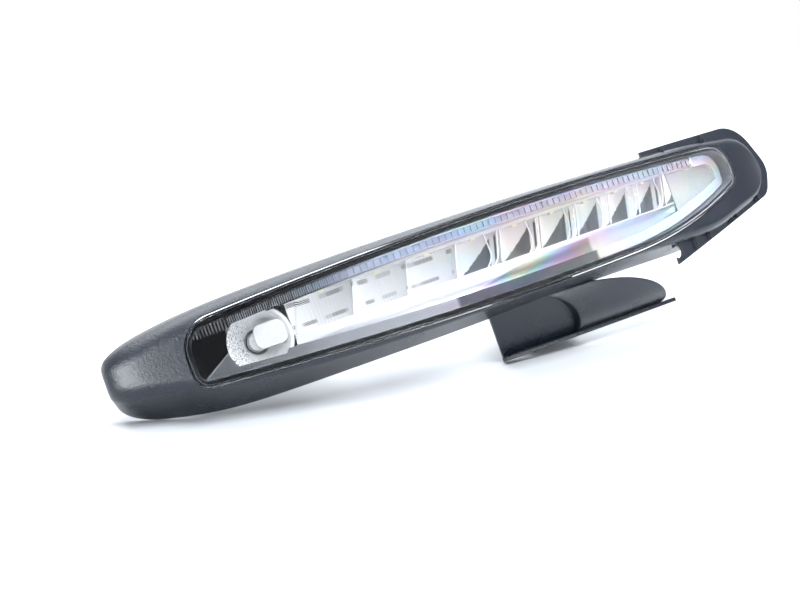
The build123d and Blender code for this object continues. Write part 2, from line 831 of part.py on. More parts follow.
# Bulb, its twist-in holder and the holder's seal, all turned about the bowl's axis
with BuildPart() as turn_bulb:
    with BuildSketch(station(bowl_run)):
        with BuildLine():
            dome = bulb_tip_depth + bulb_round
            Polyline(
                (bulb_tip_depth, bowl_height),
                (bulb_tip_depth, bowl_height + 0.4 * bulb_round),
                (dome - bulb_round * cos(radians(45)), bowl_height + bulb_round * sin(radians(45))),
                (dome, bowl_height + bulb_round),
                (bulb_neck_depth, bowl_height + bulb_round),
                (bulb_neck_depth, bowl_height + bulb_base_round),
                (bulb_foot_depth, bowl_height + bulb_base_round),
                (bulb_foot_depth, bowl_height),
                close=True,
            )
        make_face()
    revolve(axis=bowl_axis)

flange_depth = pad_depth + holder_seal_wall
with BuildPart() as bulb_holder:
    with BuildSketch(facing_back(bowl_run, flange_depth, bowl_height)):
        Circle(holder_round)
    extrude(amount=-(flange_depth - holder_front))
    with BuildSketch(facing_back(bowl_run, holder_front, bowl_height)):
        Circle(bulb_base_round + seat_gap)
    extrude(amount=bulb_foot_depth + seat_gap - holder_front, mode=Mode.SUBTRACT)
    with BuildSketch(facing_back(bowl_run, flange_depth, bowl_height)):
        Circle(holder_flange)
    extrude(amount=holder_flange_wall)
    with BuildSketch(facing_back(bowl_run, flange_depth + holder_flange_wall, bowl_height)):
        SlotOverall(2 * holder_round, holder_grip)
    extrude(amount=holder_grip)

with BuildPart() as holder_seal:
    with BuildSketch(facing_back(bowl_run, pad_depth, bowl_height)):
        Circle(holder_flange - screw_gap)
        Circle(holder_round + screw_gap, mode=Mode.SUBTRACT)
    extrude(amount=holder_seal_wall)

# Driver module hung under the shelf: a case closed from below by a lid
driver_low = shelf_height - driver_drop
inner_span = (driver_from + driver_wall, driver_to - driver_wall)
inner_depths = (driver_front + driver_wall, driver_rear - driver_wall)
with BuildPart() as driver_case:
    add(band(driver_from, driver_to, driver_front, driver_rear, driver_low, shelf_height))
    add(
        band(*inner_span, *inner_depths, driver_low, shelf_height - driver_wall),
        mode=Mode.SUBTRACT,
    )
    for run in driver_runs:
        with BuildSketch(facing_up(run, driver_mid, shelf_height)):
            Circle(driver_boss)
        extrude(amount=-driver_boss_height)
    for run in driver_runs:
        with BuildSketch(facing_up(run, driver_mid, shelf_height)):
            Circle(fixing_shank + screw_gap)
        extrude(amount=-driver_boss_height, mode=Mode.SUBTRACT)

with BuildPart() as driver_lid:
    lid_low = driver_low - driver_lid_wall
    add(band(driver_from, driver_to, driver_front, driver_rear, lid_low, driver_low))
    plug_span = (inner_span[0] + seat_gap, inner_span[1] - seat_gap)
    plug_depths = (inner_depths[0] + seat_gap, inner_depths[1] - seat_gap)
    add(band(*plug_span, *plug_depths, driver_low, driver_low + driver_wall))

with BuildPart() as driver_screws:
    for run in driver_runs:
        with BuildSketch(facing_up(run, driver_mid, shelf_height + shelf_wall)):
            Circle(fixing_shank)
        extrude(amount=-driver_boss_height)
        with BuildSketch(facing_up(run, driver_mid, shelf_height + shelf_wall)):
            Circle(fixing_head)
        extrude(amount=fixing_head_height)
        with BuildSketch(facing_up(run, driver_mid, shelf_height + shelf_wall + fixing_head_height)):
            RegularPolygon(recess_round, 6)
        extrude(amount=-recess_depth, mode=Mode.SUBTRACT)

# Electrical inlet: a shrouded socket and its pins
pin_runs = [(i - (pin_count - 1) / 2) * pin_pitch for i in range(pin_count)]
with BuildPart() as connector_socket:
    with BuildSketch(facing_back(socket_run, pad_depth, socket_height)):
        Rectangle(*socket_base)
    extrude(amount=socket_flange_wall)
    with BuildSketch(facing_back(socket_run, pad_depth, socket_height)):
        RectangleRounded(*socket_outer, socket_wall)
    extrude(amount=socket_length)
    with BuildSketch(facing_back(socket_run, pad_depth + socket_flange_wall, socket_height)):
        RectangleRounded(socket_width, socket_tall, socket_wall / 2)
    extrude(amount=socket_length, mode=Mode.SUBTRACT)
    with BuildSketch(facing_back(socket_run, pad_depth, socket_height)):
        with Locations(*[(x, 0) for x in pin_runs]):
            Rectangle(pin_size + screw_gap, pin_size + screw_gap)
    extrude(amount=socket_flange_wall, mode=Mode.SUBTRACT)

with BuildPart() as connector_pins:
    with BuildSketch(facing_back(socket_run, pad_depth - socket_flange_wall, socket_height)):
        with Locations(*[(x, 0) for x in pin_runs]):
            Rectangle(pin_size, pin_size)
    extrude(amount=0.6 * socket_length)

# Breather cap
with BuildPart() as vent_cap:
    with BuildSketch(facing_back(vent_run, pad_depth, vent_height)):
        Circle(vent_round)
    extrude(amount=vent_wall)
    chamfer(vent_cap.edges().sort_by(Axis.Y)[-1], vent_wall / 4)
    with BuildSketch(facing_back(vent_run, pad_depth, vent_height)):
        Circle(vent_stem)
    extrude(amount=-(pad_depth - housing_inner))

# Threaded inserts in the bosses by which the lamp is fixed
with BuildPart() as mount_inserts:
    for x, z in mounts:
        with BuildSketch(drawn_back(mount_plane)):
            with Locations((x, z)):
                Circle(insert_round)
        extrude(amount=insert_length)
        with BuildSketch(drawn_back(mount_plane + insert_flange_wall)):
            with Locations((x, z)):
                Circle(insert_flange)
        extrude(amount=insert_flange_wall)
        with BuildSketch(drawn_back(mount_plane + insert_flange_wall)):
            with Locations((x, z)):
                Circle(insert_bore)
        extrude(amount=insert_flange_wall + insert_length, mode=Mode.SUBTRACT)

pieces = {
    "surround": surround.part,
    "outer_lens": outer_lens.part,
    "lens_seal": lens_seal.part,
    "rear_housing": rear_housing.part,
    "housing_screws": housing_screws.part,
    "inner_bezel": inner_bezel.part,
    "light_guide": light_guide.part,
    "guide_led": guide_led.part,
    "guide_led_board": guide_led_board.part,
    "cell_reflector": cell_reflector.part,
    "end_reflector": end_reflector.part,
    "bowl_reflector": bowl_reflector.part,
    "led_board": led_board.part,
    "cell_leds": cell_leds.part,
    "heat_sink": heat_sink.part,
    "board_screws": board_screws.part,
    "turn_bulb": turn_bulb.part,
    "bulb_holder": bulb_holder.part,
    "holder_seal": holder_seal.part,
    "driver_case": driver_case.part,
    "driver_lid": driver_lid.part,
    "driver_screws": driver_screws.part,
    "connector_socket": connector_socket.part,
    "connector_pins": connector_pins.part,
    "vent_cap": vent_cap.part,
    "mount_inserts": mount_inserts.part,
}

# Lay every piece down, centred over the origin with its lowest point on the table
os.makedirs("parts", exist_ok=True)
lying = [piece.moved(rest_turn) for piece in pieces.values()]
box = lying[0].bounding_box()
for piece in lying[1:]:
    box = box.add(piece.bounding_box())
settle = Pos(-box.center().X, -box.center().Y, -box.min.Z)
for name, piece in zip(pieces, lying):
    placed = piece.moved(settle)
    placed.label = name
    export_step(placed, f"parts/{name}.step")
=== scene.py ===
"""Daytime running light: finishes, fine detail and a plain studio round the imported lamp."""

from math import cos, radians, sin, tan

import bmesh
import bpy
from bpy.props import FloatProperty, FloatVectorProperty, PointerProperty
from mathutils import Euler, Matrix, Vector


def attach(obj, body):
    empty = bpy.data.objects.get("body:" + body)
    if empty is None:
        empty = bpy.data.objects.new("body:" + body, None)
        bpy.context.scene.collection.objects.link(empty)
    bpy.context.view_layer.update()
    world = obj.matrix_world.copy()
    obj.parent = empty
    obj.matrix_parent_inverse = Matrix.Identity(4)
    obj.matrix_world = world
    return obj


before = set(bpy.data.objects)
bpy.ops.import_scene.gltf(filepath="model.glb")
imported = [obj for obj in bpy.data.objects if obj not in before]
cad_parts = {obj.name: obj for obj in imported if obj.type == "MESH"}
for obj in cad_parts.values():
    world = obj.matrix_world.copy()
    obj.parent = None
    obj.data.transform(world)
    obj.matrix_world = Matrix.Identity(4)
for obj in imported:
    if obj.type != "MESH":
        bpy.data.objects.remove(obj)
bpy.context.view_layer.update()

bl_info = {
    "name": "Daytime Running Light",
    "version": (1, 0, 0),
    "blender": (4, 5, 0),
    "location": "View3D > Sidebar > Lamp",
    "description": "Dresses the packed daytime running light and sets up its studio",
    "category": "Object",
}

# Places on the lamp are in millimetres: run along its sweep, depth behind its front, height.
# A pair of limits is where a soft step starts and where it ends. A third value is how soft the
# two ends of a range are.
MM = 0.001
PER_METRE = 1000.0
SWEEP = 720.0
ATTITUDE = Euler((-radians(25.0), -radians(11.7), 0.0))
CENTRE = Vector((-0.0672252, -0.04178, 0.059535))

# Row of cells: each pitch is the one before it times the ratio, and the walls are raked.
CELL_FROM, CELL_PITCH, CELL_RATIO = -57.5, 34.7, 0.95
CELL_RAKE = tan(radians(16.7))
CELL_FLOOR, CELL_TOP = 1.0, 19.5
CELL_COUNT, PLAIN_CELLS = 9, 3
ROW_FRONT = 14.2

WHITE = (1.0, 1.0, 1.0)
EDGE_SAMPLES = 4
NOISE_LOW, NOISE_HIGH = 0.3, 0.7

# Painted sheen: faint pastel bands for the rainbow sheen of stressed clear plastic. How fast
# they drift, and the round of pastels they pass through.
SHEEN_STRETCH, SHEEN_DRIFT, SHEEN_CLIMB = (0.018, 0.03), 2.6, 0.035
SHEEN_COLOURS = (
    (0.0, (1.0, 0.86, 0.93)),
    (0.17, (0.90, 0.87, 1.0)),
    (0.34, (0.83, 0.93, 1.0)),
    (0.5, (0.84, 0.98, 0.92)),
    (0.67, (1.0, 0.96, 0.86)),
    (0.84, (1.0, 0.90, 0.87)),
    (1.0, (1.0, 0.86, 0.93)),
)


class LampFinish(bpy.types.PropertyGroup):
    """Colours of the lamp's finishes."""

    surround_colour: FloatVectorProperty(
        name="Surround", description="Moulded black of the surround", subtype="COLOR", size=3,
        min=0.0, max=1.0, default=(0.0035, 0.0050, 0.0082),
    )
    housing_colour: FloatVectorProperty(
        name="Housing", description="Plain black of the rear housing", subtype="COLOR", size=3,
        min=0.0, max=1.0, default=(0.020, 0.021, 0.023),
    )
    bezel_colour: FloatVectorProperty(
        name="Bezel", description="Gloss black behind the lens", subtype="COLOR", size=3,
        min=0.0, max=1.0, default=(0.003, 0.0035, 0.0042),
    )
    reflector_colour: FloatVectorProperty(
        name="Reflector", description="Bright metal of the reflectors", subtype="COLOR", size=3,
        min=0.0, max=1.0, default=(0.96, 0.965, 0.97),
    )
    board_colour: FloatVectorProperty(
        name="Board", description="Solder mask of the circuit boards", subtype="COLOR", size=3,
        min=0.0, max=1.0, default=(0.80, 0.81, 0.80),
    )
    bulb_colour: FloatVectorProperty(
        name="Bulb", description="Silvered glass of the turn bulb", subtype="COLOR", size=3,
        min=0.0, max=1.0, default=(0.95, 0.95, 0.95),
    )


class LampSizes(bpy.types.PropertyGroup):
    """Sizes of the lamp's fine detail."""

    grain_size: FloatProperty(
        name="Grain", description="Width of one grain of the surround's texture", unit="LENGTH",
        min=0.0002, max=0.004, default=0.0009,
    )
    bead_radius: FloatProperty(
        name="Bead", description="Radius of the fine beads between the cells", unit="LENGTH",
        min=0.0001, max=0.001, default=0.00042,
    )
    shield_width: FloatProperty(
        name="Shield width", description="Width of the bulb shield", unit="LENGTH",
        min=0.008, max=0.022, default=0.0175,
    )
    shield_height: FloatProperty(
        name="Shield height", description="Height of the bulb shield", unit="LENGTH",
        min=0.006, max=0.016, default=0.0130,
    )
    grain_depth: FloatProperty(
        name="Grain depth", description="Depth of the surround's texture", unit="LENGTH",
        min=0.0, max=0.0008, default=0.00014,
    )


def finish_settings():
    return bpy.context.scene.lamp_finish


def size_settings():
    return bpy.context.scene.lamp_sizes


def opaque(value):
    """A colour, or a grey given as one number, with full alpha. An output stays as it is."""
    if hasattr(value, "is_output"):
        return value
    if isinstance(value, float):
        value = (value, value, value)
    return (*value, 1.0)


def shade(colour, share):
    return tuple(share * part for part in colour)


class Graph:
    """A node tree under construction, with short ways to add and join its nodes."""

    def __init__(self, tree):
        self.nodes = tree.nodes
        self.links = tree.links

    def feed(self, node, key, value):
        """Link an output to an input, or give the input a value of its own."""
        if hasattr(value, "is_output"):
            self.links.new(value, node.inputs[key])
        else:
            node.inputs[key].default_value = value

    def add(self, kind, inputs=None, **settings):
        node = self.nodes.new(kind)
        for key, value in settings.items():
            setattr(node, key, value)
        for key, value in (inputs or {}).items():
            self.feed(node, key, value)
        return node

    def math(self, operation, first, second=0.0, third=0.0):
        node = self.add("ShaderNodeMath", {0: first, 1: second, 2: third}, operation=operation)
        return node.outputs[0]

    def plus(self, first, second):
        return self.math("ADD", first, second)

    def less(self, first, second):
        return self.math("SUBTRACT", first, second)

    def times(self, first, *others):
        for other in others:
            first = self.math("MULTIPLY", first, other)
        return first

    def scaled(self, value, factor, offset):
        return self.math("MULTIPLY_ADD", value, factor, offset)

    def larger(self, first, second):
        return self.math("MAXIMUM", first, second)

    def zigzag(self, value, half):
        """Rises over half a pitch and falls over the other half."""
        return self.math("PINGPONG", value, half)

    def rest(self, share):
        return self.less(1.0, share)

    def fade(self, value, low, high, top=1.0):
        """0 below one value and the top above another, with a soft step between."""
        node = self.add(
            "ShaderNodeMapRange",
            {"Value": value, "From Min": low, "From Max": high, "To Max": top},
            interpolation_type="SMOOTHSTEP",
        )
        return node.outputs[0]

    def until(self, value, low, high):
        """1 below one value and 0 above another, with a soft step between."""
        return self.rest(self.fade(value, low, high))

    def within(self, value, low, high, soft):
        """1 between two values, with a soft step at each."""
        rising = self.fade(value, low - soft, low + soft)
        falling = self.fade(value, high - soft, high + soft)
        return self.less(rising, falling)

    def join(self, x, y):
        return self.add("ShaderNodeCombineXYZ", {"X": x, "Y": y}).outputs[0]

    def noise(self, vector, scale, detail, roughness=0.5):
        node = self.add(
            "ShaderNodeTexNoise",
            {"Vector": vector, "Scale": scale, "Detail": detail, "Roughness": roughness},
        )
        return node.outputs["Fac"]

    def streaks(self, run, height, stretch, detail):
        """Noise with a scale of its own along the lamp and another up it."""
        along, up = stretch
        return self.noise(self.join(self.times(run, along), self.times(height, up)), 1.0, detail)

    def ramp(self, factor, *stops):
        node = self.add("ShaderNodeValToRGB", {"Fac": factor})
        elements = node.color_ramp.elements
        while len(elements) < len(stops):
            elements.new(0.5)
        for element, (place, value) in zip(elements, stops):
            element.position = place
            element.color = opaque(value)
        return node.outputs["Color"]

    def spread(self, noise, low, high):
        """The range of a noise, from one grey or colour to another."""
        return self.ramp(noise, (NOISE_LOW, low), (NOISE_HIGH, high))

    # A mix node has a pair of inputs for each type: 2 and 3 for numbers, 6 and 7 for colours.

    def mix(self, factor, first, second):
        return self.add("ShaderNodeMix", {0: factor, 2: first, 3: second}).outputs[0]

    def blend(self, factor, first, second, mode="MIX"):
        node = self.add(
            "ShaderNodeMix", {0: factor, 6: opaque(first), 7: opaque(second)},
            data_type="RGBA", blend_type=mode,
        )
        return node.outputs[2]


class Finish(Graph):
    """One material under construction, laid out in the lamp's own sweep."""

    def __init__(self, name, colour, roughness, metallic=0.0, **sockets):
        self.material = bpy.data.materials.new(name)
        self.material.use_nodes = True
        super().__init__(self.material.node_tree)
        self.shader = self.nodes["Principled BSDF"]
        self.set("Base Color", opaque(colour))
        self.set("Roughness", roughness)
        self.set("Metallic", metallic)
        for socket, value in sockets.items():
            self.set(socket.replace("_", " "), value)

    def set(self, socket, value):
        self.feed(self.shader, socket, value)

    def place(self):
        """Object coordinates, in metres."""
        return self.add("ShaderNodeTexCoord").outputs["Object"]

    def along(self):
        """Run, depth and height in the lamp's own sweep."""
        upright = self.add(
            "ShaderNodeMapping",
            {
                "Vector": self.place(),
                "Location": CENTRE,
                "Rotation": ATTITUDE,
                "Scale": (MM, MM, MM),
            },
            vector_type="TEXTURE",
        )
        x, y, height = self.add("ShaderNodeSeparateXYZ", {"Vector": upright.outputs[0]}).outputs
        inward = self.less(SWEEP, y)
        turn = self.math("ARCTAN2", x, inward)
        squares = self.plus(self.math("POWER", x, 2.0), self.math("POWER", inward, 2.0))
        return self.times(turn, SWEEP), self.less(SWEEP, self.math("SQRT", squares)), height

    def facing(self, run, normal=None):
        """How far a face looks out of the lamp's front, and how far it looks up."""
        normal = normal or self.add("ShaderNodeNewGeometry").outputs["Normal"]
        across, back, up = (
            self.add("ShaderNodeVectorMath", {0: normal, 1: axis}, operation="DOT_PRODUCT")
            .outputs["Value"]
            for axis in ATTITUDE.to_matrix().col
        )
        turn = self.times(run, 1.0 / SWEEP)
        ahead = self.less(self.times(across, self.math("SINE", turn)),
                          self.times(back, self.math("COSINE", turn)))
        return ahead, up

    def cells(self, run, height):
        """Count of cells from the inner end, share across the cell, and share up it."""
        up = self.less(height, CELL_FLOOR)
        raked = self.less(run, self.times(up, CELL_RAKE))
        step = (1.0 - CELL_RATIO) / CELL_PITCH
        left = self.scaled(raked, -step, 1.0 + CELL_FROM * step)
        count = self.math("LOGARITHM", left, CELL_RATIO)
        level = self.times(up, 1.0 / (CELL_TOP - CELL_FLOOR))
        return count, self.math("FRACT", count), level

    def painted_sheen(self, run, height):
        """Painted sheen: faint bands of colour that drift along the lamp."""
        drift = self.streaks(run, height, SHEEN_STRETCH, detail=2.0)
        band = self.plus(self.times(drift, SHEEN_DRIFT), self.times(height, SHEEN_CLIMB))
        return self.ramp(self.math("FRACT", band), *SHEEN_COLOURS)

    def rounded(self, radius):
        """The surface's normal, with its edges softened."""
        return self.add("ShaderNodeBevel", {"Radius": radius}, samples=EDGE_SAMPLES).outputs[0]

    def bump(self, height, distance, normal=None):
        node = self.add("ShaderNodeBump", {"Height": height, "Distance": distance})
        if normal:
            self.feed(node, "Normal", normal)
        self.set("Normal", node.outputs[0])

    def speckle(self, scale, detail, rough=None, colours=None, relief=None):
        """Vary roughness, colour and relief by one noise."""
        noise = self.noise(self.place(), scale, detail)
        if rough:
            self.set("Roughness", self.spread(noise, *rough))
        if colours:
            self.set("Base Color", self.blend(noise, *colours))
        if relief:
            self.bump(noise, relief)

    def paint(self, *names):
        for name in names:
            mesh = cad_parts[name].data
            mesh.materials.clear()
            mesh.materials.append(self.material)


def lamp_point(run, depth, height):
    """Place in the frame of a point given along the lamp's sweep, in millimetres."""
    turn = run / SWEEP
    inward = SWEEP - depth
    upright = Vector((inward * sin(turn), SWEEP - inward * cos(turn), height)) * MM
    return CENTRE + ATTITUDE.to_matrix() @ upright


def mesh_of(bm, name):
    mesh = bpy.data.meshes.new(name)
    bm.to_mesh(mesh)
    bm.free()
    return mesh


def in_scene(name, data):
    """A new object of this name, linked into the scene."""
    item = bpy.data.objects.new(name, data)
    bpy.context.scene.collection.objects.link(item)
    return item


# Surround: a coarse grain with a finer one on it, which is nearly gone on the outer flange.
FINE_GRAIN, FINE_SHARE = 2.5, 0.6
SURROUND_EDGE = 0.0014
FLANGE_RUN = (190.0, 235.0)
FLANGE_RELIEF, FLANGE_ROUGH = -0.92, -0.04
SURROUND_CLOUD = 28.0
SURROUND_ROUGH = (0.23, 0.29)
SURROUND_SHADES = (0.75, 1.2)


class LAMP_OT_surround(bpy.types.Operator):
    """Give the surround its grained black moulding"""

    bl_idname = "lamp.surround"
    bl_label = "Surround"

    def execute(self, context):
        black, sizes = finish_settings().surround_colour, size_settings()
        skin = Finish("grained_black", black, roughness=0.46, Specular_IOR_Level=0.36)
        coarse = skin.add(
            "ShaderNodeTexVoronoi",
            {"Vector": skin.place(), "Scale": 1.0 / sizes.grain_size, "Randomness": 1.0},
            feature="SMOOTH_F1",
        )
        fine = skin.noise(skin.place(), FINE_GRAIN / sizes.grain_size, detail=3.0)
        grain = skin.plus(coarse.outputs["Distance"], skin.times(fine, FINE_SHARE))
        flange = skin.fade(skin.along()[0], *FLANGE_RUN)
        relief = skin.times(grain, skin.scaled(flange, FLANGE_RELIEF, 1.0))
        skin.bump(relief, sizes.grain_depth, skin.rounded(SURROUND_EDGE))
        cloud = skin.noise(skin.place(), SURROUND_CLOUD, detail=3.0)
        matt = skin.spread(cloud, *SURROUND_ROUGH)
        skin.set("Roughness", skin.scaled(flange, FLANGE_ROUGH, matt))
        dim, pale = (shade(black, share) for share in SURROUND_SHADES)
        skin.set("Base Color", skin.blend(cloud, dim, pale))
        skin.paint("surround")
        return {"FINISHED"}


# Lens: clear on its face with painted sheen bands, a rolled rim painted black as the shade of the
# gap round the lens, and a frosted skirt behind it.
LENS_ROUGH, EDGE_ROUGH = 0.02, 0.55
LENS_EDGE = 0.0009
RIM_FACING, RIM_DEPTH = (0.82, 0.96), (2.25, 2.45)
SKIRT_DEPTH = (2.7, 3.2)
LENS_BANDS, LENS_BAND_RUN = 0.55, (-10.0, 80.0)
SKIRT_GREY, RIM_PAINTED_SHADE = (0.62, 0.66, 0.72), (0.02, 0.022, 0.026)


class LAMP_OT_lens(bpy.types.Operator):
    """Give the outer lens its clear moulding"""

    bl_idname = "lamp.lens"
    bl_label = "Outer lens"

    def execute(self, context):
        clear = Finish("clear_lens", WHITE, LENS_ROUGH, Transmission_Weight=1.0, IOR=1.46)
        run, depth, height = clear.along()
        ahead = clear.facing(run, clear.rounded(LENS_EDGE))[0]
        turned_edge = clear.until(clear.math("ABSOLUTE", ahead), *RIM_FACING)
        rim = clear.times(turned_edge, clear.until(depth, *RIM_DEPTH))
        skirt = clear.fade(depth, *SKIRT_DEPTH)
        clear.set("Metallic", rim)
        soft = clear.blend(LENS_BANDS, WHITE, clear.painted_sheen(run, height))
        face = clear.blend(clear.fade(run, *LENS_BAND_RUN), WHITE, soft)
        edge = clear.blend(skirt, face, SKIRT_GREY)
        # Painted shade: the rim is black and opaque, for the shadowed gap round the lens.
        clear.set("Base Color", clear.blend(rim, edge, RIM_PAINTED_SHADE))
        clear.set("Roughness", clear.scaled(clear.larger(rim, skirt), EDGE_ROUGH, LENS_ROUGH))
        clear.paint("outer_lens")
        return {"FINISHED"}


# Bezel: gloss black at its inner end and in the ribbed track above, with painted highlights on
# the ribs. Bright metal elsewhere, with painted sheen bands and a painted dark reflection low down.
BEZEL_BRUSH = (0.06, 1.6)
BLACK_END_HEIGHT, BLACK_END_SLOPE, BLACK_END_RUN = 5.7, 1.7, (-92.5, -89.5)
TRACK_HEIGHT, TRACK_RUN = (15.6, 17.0), (-45.0, 10.0)
TRACK_RIB, TRACK_RIB_EDGE, TRACK_RIB_SHARE = 0.9, (0.35, 0.6), 0.35
TRACK_RIB_HIGHLIGHT, BEZEL_METAL = (0.5, 0.5, 0.52), (0.80, 0.82, 0.86)
BEZEL_BAND_RUN, BEZEL_PALE_RUN, BEZEL_PALE = (0.0, 80.0), (120.0, 200.0), -0.6
BEZEL_REFLECTION_RUN, BEZEL_REFLECTION_HEIGHT = (36.0, 133.0, 1.5), (-9.0, -6.0)
BEZEL_REFLECTION_GREY, BEZEL_REFLECTION_SHARE = (0.12, 0.14, 0.18), 0.88
BEZEL_ROUGH, BRUSH_ROUGH, BRUSH_RELIEF = 0.06, 0.20, 0.00005

# Light guide: at its inner end the dark ribbed track behind it is painted on as teeth with painted
# highlights, fading into a frosted bar with painted sheen bands.
GUIDE_COLOUR = (0.86, 0.88, 0.91)
PRISM_HALF, PRISM_RELIEF, PRISM_EDGE = 0.6, 0.0006, (0.2, 0.4)
PRISM_RUN, TOOTHED_RUN = (-48.0, -5.0), (-62.0, -10.0)
TOOTH_TRACK_SEEN_THROUGH, TOOTH_HIGHLIGHT = (0.03, 0.032, 0.036), (0.34, 0.35, 0.38)
FROST_RUN, FROST_COOL, FROST_GREY = (60.0, 160.0), (0.42, 0.50, 0.63), (0.58, 0.58, 0.60)
FROST_BANDS, FROST_ROUGH = 0.6, 0.22
GUIDE_CLOUD, GUIDE_ROUGH = 120.0, (0.05, 0.16)


class LAMP_OT_bezel(bpy.types.Operator):
    """Give the bezel its gloss black and the light guide its clear ribbed bar"""

    bl_idname = "lamp.bezel"
    bl_label = "Bezel and light guide"

    def execute(self, context):
        self.finish_bezel(finish_settings().bezel_colour)
        self.finish_guide()
        return {"FINISHED"}

    def finish_bezel(self, black):
        gloss = Finish("bezel_trim", black, roughness=0.12)
        run, _, height = gloss.along()
        brush = gloss.streaks(run, height, BEZEL_BRUSH, detail=3.0)
        dip = gloss.larger(gloss.less(BLACK_END_HEIGHT, height), 0.0)
        past_end = gloss.fade(gloss.scaled(dip, BLACK_END_SLOPE, run), *BLACK_END_RUN)
        track = gloss.times(gloss.fade(height, *TRACK_HEIGHT), gloss.until(run, *TRACK_RUN))
        metal = gloss.times(past_end, gloss.rest(track))
        # Painted highlights: pale grey stripes on the ribs of the black track.
        rib_highlight = gloss.times(gloss.fade(gloss.zigzag(run, TRACK_RIB), *TRACK_RIB_EDGE), track)
        under = gloss.blend(gloss.times(rib_highlight, TRACK_RIB_SHARE), black, TRACK_RIB_HIGHLIGHT)
        bands = gloss.painted_sheen(run, height)
        tint = gloss.blend(gloss.fade(run, *BEZEL_BAND_RUN), BEZEL_METAL, bands)
        # Painted dark reflection low on the bezel, over the same run as the one on the apron.
        below = gloss.times(gloss.within(run, *BEZEL_REFLECTION_RUN),
                            gloss.until(height, *BEZEL_REFLECTION_HEIGHT))
        tint = gloss.blend(gloss.times(below, BEZEL_REFLECTION_SHARE), tint, BEZEL_REFLECTION_GREY)
        gloss.set("Base Color", gloss.blend(metal, under, tint))
        paler = gloss.scaled(gloss.fade(run, *BEZEL_PALE_RUN), BEZEL_PALE, 1.0)
        gloss.set("Metallic", gloss.times(metal, paler))
        gloss.set("Roughness", gloss.scaled(gloss.times(brush, metal), BRUSH_ROUGH, BEZEL_ROUGH))
        gloss.bump(brush, BRUSH_RELIEF)
        gloss.paint("inner_bezel")

    def finish_guide(self):
        bar = Finish("guide_clear", GUIDE_COLOUR, roughness=0.08, Transmission_Weight=0.2, IOR=1.5)
        run, _, height = bar.along()
        prism = bar.zigzag(run, PRISM_HALF)
        plain = bar.fade(run, *PRISM_RUN)
        bar.bump(bar.times(prism, bar.rest(plain)), PRISM_RELIEF)
        # Painted see-through and highlights: the dark of the track behind, with pale stripes on the
        # prisms.
        painted_teeth = bar.blend(bar.fade(prism, *PRISM_EDGE), TOOTH_TRACK_SEEN_THROUGH, TOOTH_HIGHLIGHT)
        cool = bar.blend(bar.fade(run, *FROST_RUN), FROST_COOL, FROST_GREY)
        frosted = bar.blend(FROST_BANDS, cool, bar.painted_sheen(run, height), "MULTIPLY")
        bar.set("Base Color", bar.blend(bar.fade(run, *TOOTHED_RUN), painted_teeth, frosted))
        cloud = bar.noise(bar.place(), GUIDE_CLOUD, detail=2.0)
        bar.set("Roughness", bar.scaled(plain, FROST_ROUGH, bar.spread(cloud, *GUIDE_ROUGH)))
        bar.paint("light_guide")


# Cells: a dark wedge and a dark sliver in each raked cell, both painted dark reflections, on a
# pattern laid obliquely, so that it moves this far along the lamp for each millimetre of depth.
CELL_SKEW = 0.6
PATTERN_SHIFT, RAKED_SOFT = 3.0, 0.05
WEDGE_SILL, WEDGE_END = (0.0, 0.06), (0.80, 0.84)
WEDGE_CURVE, WEDGE_CLIMB, WEDGE_START = 1.35, 1.15, 0.02
RAGGED, RAGGED_DEPTH, RAGGED_MIDDLE, RAGGED_SOFT = (0.45, 0.45), 0.16, 0.08, 0.03
SLIVER_SHARE, SLIVER_LEVEL = (0.93, 0.985, 0.015), (0.1, 0.9, 0.08)
KNIT_HALF, KNIT_EDGE = 0.6, (0.03, 0.22)
KNIT_REFLECTION_DARK, KNIT_REFLECTION_PALE = (0.035, 0.038, 0.043), (0.30, 0.31, 0.34)

# Plain cells: two broken lines of slanted dark teeth, and flutes.
DARK_LINE_SLANT, DARK_LINE_HALF, DARK_LINE_EDGE = 0.7, 0.55, (0.16, 0.34)
DARK_LINE_UPPER, DARK_LINE_LOWER = (15.8, 18.2, 0.2), (4.2, 6.2, 0.2)
DARK_LINE_PATCH, DARK_LINE_PATCH_EDGE = 0.07, (0.47, 0.53)
DARK_LINE_BLACK = (0.05, 0.05, 0.06)
FLUTE_HALF = 1.1

# Apron below the cells: brushed, with painted sheen bands and a painted dark reflection below a
# rising line. The cells are mostly bright paint and the apron is mostly metal.
APRON_HEIGHT, APRON_BAND_RUN, CELL_BANDS = (0.4, 1.4), (10.0, 70.0), 0.3
APRON_GREY, APRON_GREY_SHARE = (0.72, 0.74, 0.80), 0.8
REFLECTION_PATCH_RUN, REFLECTION_PATCH_SOFT = (38.0, 133.0, 1.5), (-0.8, 0.8)
REFLECTION_PATCH_RISE, REFLECTION_PATCH_BASE, REFLECTION_PATCH_TOP = 0.19, -18.5, -1.4
REFLECTION_PATCH_GREY, REFLECTION_PATCH_SHARE, REFLECTION_PATCH_GAMMA = (0.25, 0.26, 0.29), 0.80, 4.0
ROW_BRUSH, ROW_BRUSH_SHARE, ROW_RELIEF = (0.05, 1.4), 0.6, 0.00014
ROW_ROUGH, DARK_ROUGH = 0.10, 0.20
CELL_PAINT, APRON_METAL = 0.88, 0.78

# Bowl and scoop: facets all over, and painted dark reflections of the facets as specks in the bowl.
FACET_SCALE, FACET_RELIEF = 330.0, 0.0003
BRIGHT_CLOUD, BRIGHT_ROUGH = 60.0, (0.07, 0.16)
BOWL_RUN = (-90.0, -74.0)
SPECK_SCALE, SPECK_ROUGH, SPECK_EDGE = 900.0, 0.7, (0.52, 0.60)
SPECK_REFLECTION_DARK = (0.12, 0.13, 0.15)


